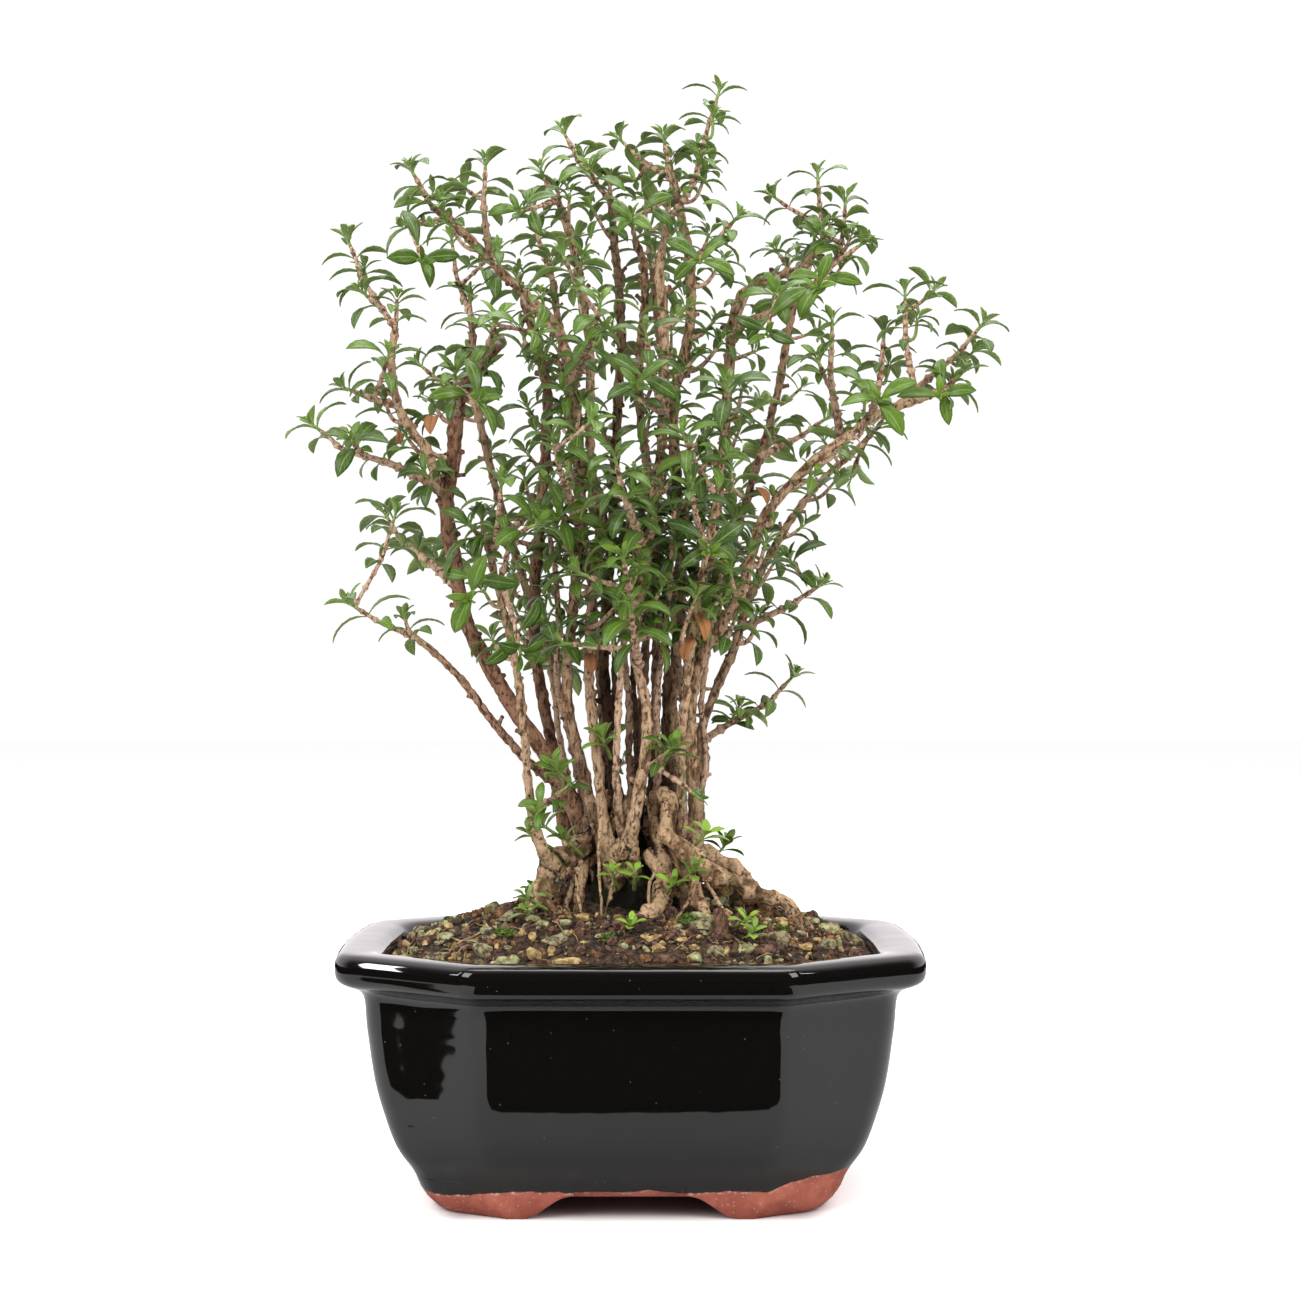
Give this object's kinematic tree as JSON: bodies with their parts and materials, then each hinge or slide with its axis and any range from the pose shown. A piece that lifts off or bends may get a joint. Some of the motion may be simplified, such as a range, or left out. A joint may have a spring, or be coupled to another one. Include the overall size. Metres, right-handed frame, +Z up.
{
  "type": "serissa bonsai in pot",
  "caption": "Many-stemmed serissa bonsai with exposed roots and small pointed leaves, in a black glazed eight-sided pot with scalloped feet.",
  "frame": {"origin": "middle of the whole outline seen from above, on the surface that the pot stands on; the pot's middle is 6 mm to the left of it and 5.6 mm in front", "axes": "+Z up, front of the pot towards -Y, long side of the pot along X"},
  "size_m": [0.2024, 0.1353, 0.3129],
  "materials": {
    "pot_glaze": "black gloss glaze over terracotta, bare terracotta below a wavy glaze line and on the feet",
    "soil": "dark fibrous soil with grey-green, tan and red-brown pebbles and patches of moss",
    "bark": "rough tan to grey-brown bark, flaky on the thin stems, redder on two of the thick ones",
    "dead_bark": "dark weathered bark",
    "leaves": "glossy dark green upper face with a paler midrib, lighter matt underside",
    "screen_plastic": "black moulded mesh"
  },
  "bodies": {
    "root": {"pot": "pot_glaze", "drain_screen_left": "screen_plastic", "drain_screen_right": "screen_plastic", "soil": "soil", "trunk_and_roots": "bark", "bark_stub": "dead_bark", "left_spray_01": "leaves", "left_spray_02": "leaves", "left_spray_03": "leaves", "left_spray_04": "leaves", "left_spray_05": "leaves", "left_spray_06": "leaves", "left_spray_07": "leaves", "left_spray_08": "leaves", "left_spray_09": "leaves", "top_spray_01": "leaves", "top_spray_02": "leaves", "top_spray_03": "leaves", "top_spray_04": "leaves", "top_spray_05": "leaves", "top_spray_06": "leaves", "top_spray_07": "leaves", "top_spray_08": "leaves", "top_spray_09": "leaves", "top_spray_10": "leaves", "right_spray_01": "leaves", "right_spray_02": "leaves", "right_spray_03": "leaves", "right_spray_04": "leaves", "right_spray_05": "leaves", "right_spray_06": "leaves", "right_spray_07": "leaves", "front_spray_01": "leaves", "front_spray_02": "leaves", "front_spray_03": "leaves", "front_spray_04": "leaves", "front_spray_05": "leaves", "front_spray_06": "leaves", "front_spray_07": "leaves", "front_spray_08": "leaves", "front_spray_09": "leaves", "front_spray_10": "leaves", "front_spray_11": "leaves", "front_spray_12": "leaves", "back_top_spray_01": "leaves", "back_top_spray_02": "leaves", "back_top_spray_03": "leaves", "back_top_spray_04": "leaves", "back_spray_01": "leaves", "back_spray_02": "leaves", "back_spray_03": "leaves", "back_spray_04": "leaves", "back_spray_05": "leaves", "back_spray_06": "leaves", "back_spray_07": "leaves", "back_spray_08": "leaves", "back_spray_09": "leaves", "low_tuft_01": "leaves", "low_tuft_02": "leaves"}
  },
  "joints": []
}
